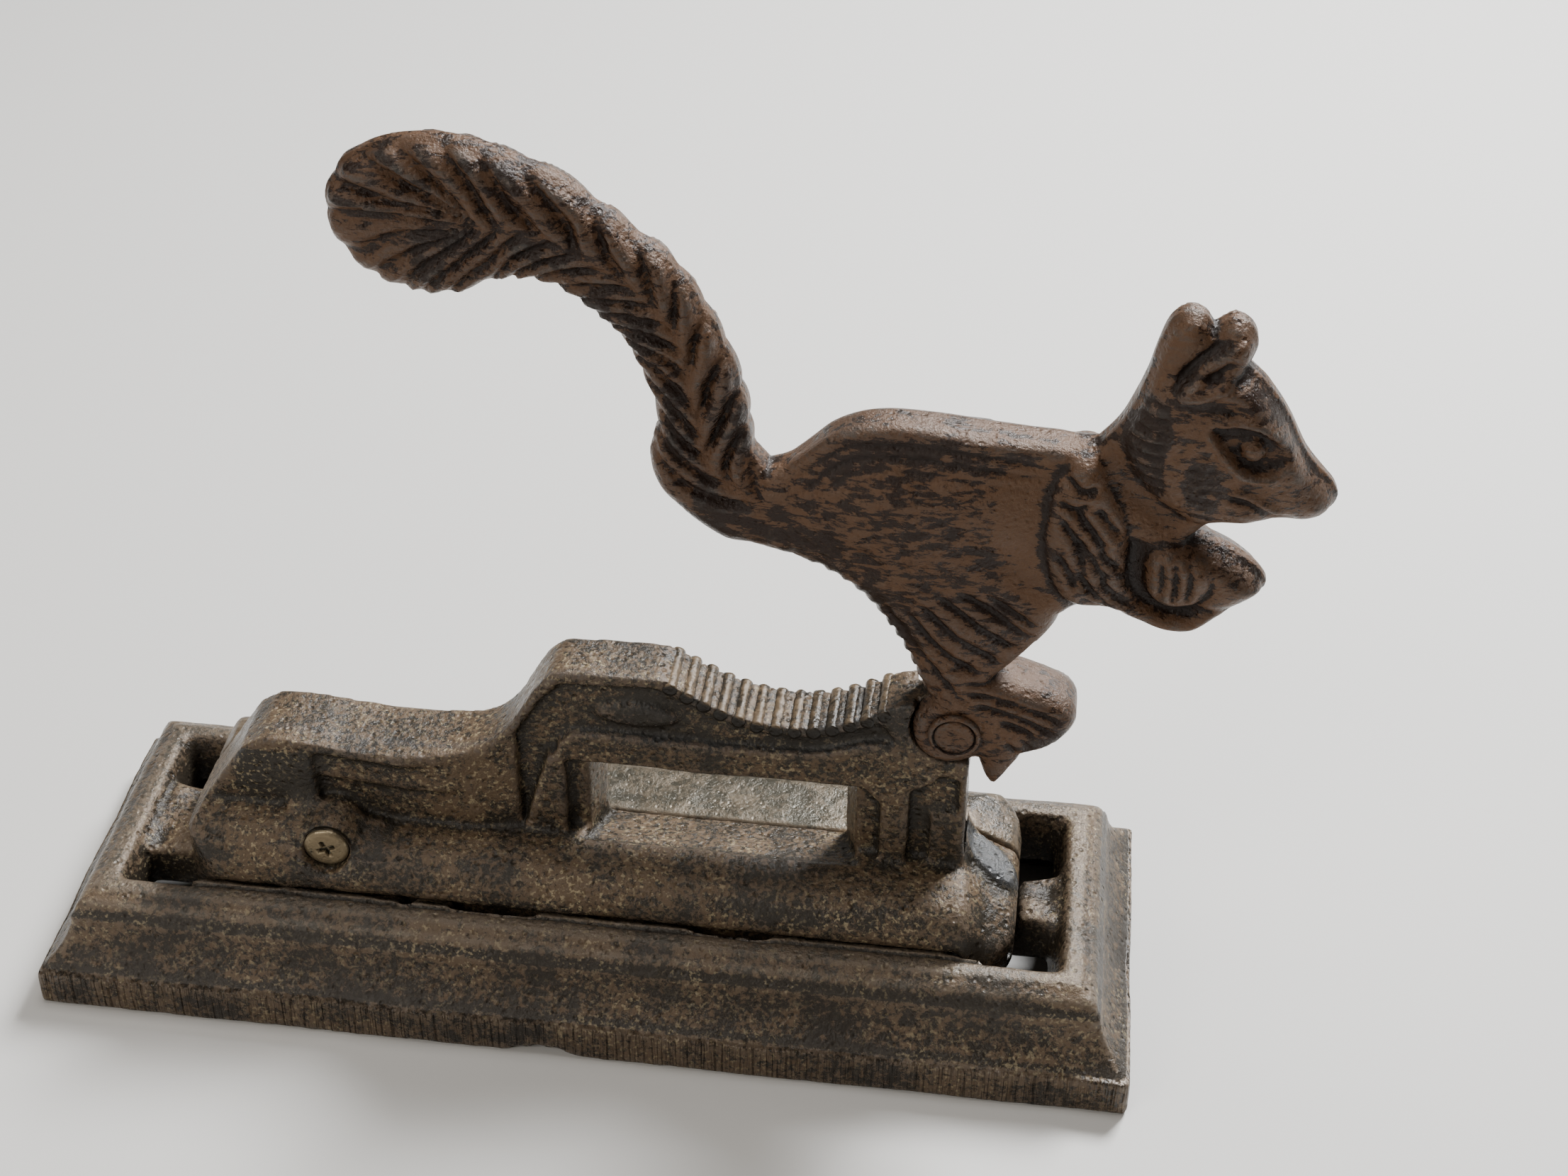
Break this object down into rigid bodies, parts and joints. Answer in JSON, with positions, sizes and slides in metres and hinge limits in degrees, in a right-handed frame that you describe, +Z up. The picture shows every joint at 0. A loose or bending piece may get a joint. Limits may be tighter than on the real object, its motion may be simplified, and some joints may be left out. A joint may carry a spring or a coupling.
{
  "type": "lever nutcracker",
  "caption": "Cast-iron lever nutcracker: a squirrel hinged at its foot swings over a ribbed anvil that stands on a log in a moulded openwork plinth.",
  "frame": {"origin": "middle of the plinth's rectangular foot, in the plane it stands on", "axes": "+X along the plinth towards the squirrel's head, +Y to the rear, away from the side with the cross screw's head, +Z up"},
  "size_m": [0.2323, 0.0696, 0.1752],
  "materials": {
    "plinth_iron": "dark brown patina over rough casting, satin on the mouldings",
    "anvil_iron": "dark brown patina with tan flecks, rubbed bright on the nut seat",
    "rear_iron": "grey-brown patina, smooth flat land",
    "squirrel_iron": "near-black iron with warm brown rubbed patina, semi-gloss",
    "pivot_iron": "dark brown, worn shiny on the rim",
    "screw_brass": "tarnished brass-plated screw",
    "hidden_steel": "darkened steel"
  },
  "bodies": {
    "stand": {"base_plinth": "plinth_iron", "anvil_casting": "anvil_iron", "log_rear_half": "rear_iron", "cross_screw": "screw_brass", "cross_nut": "hidden_steel", "base_screws": "hidden_steel"},
    "squirrel": {"squirrel_lever": "squirrel_iron", "pivot_pin": "pivot_iron", "pivot_washers": "pivot_iron"}
  },
  "joints": [
    {"name": "squirrel_hinge", "type": "hinge", "parent": "stand", "child": "squirrel", "pos_m": [0.0674, 0, 0.0656], "axis": [0, -1, 0], "range_deg": [-7, 15]}
  ]
}
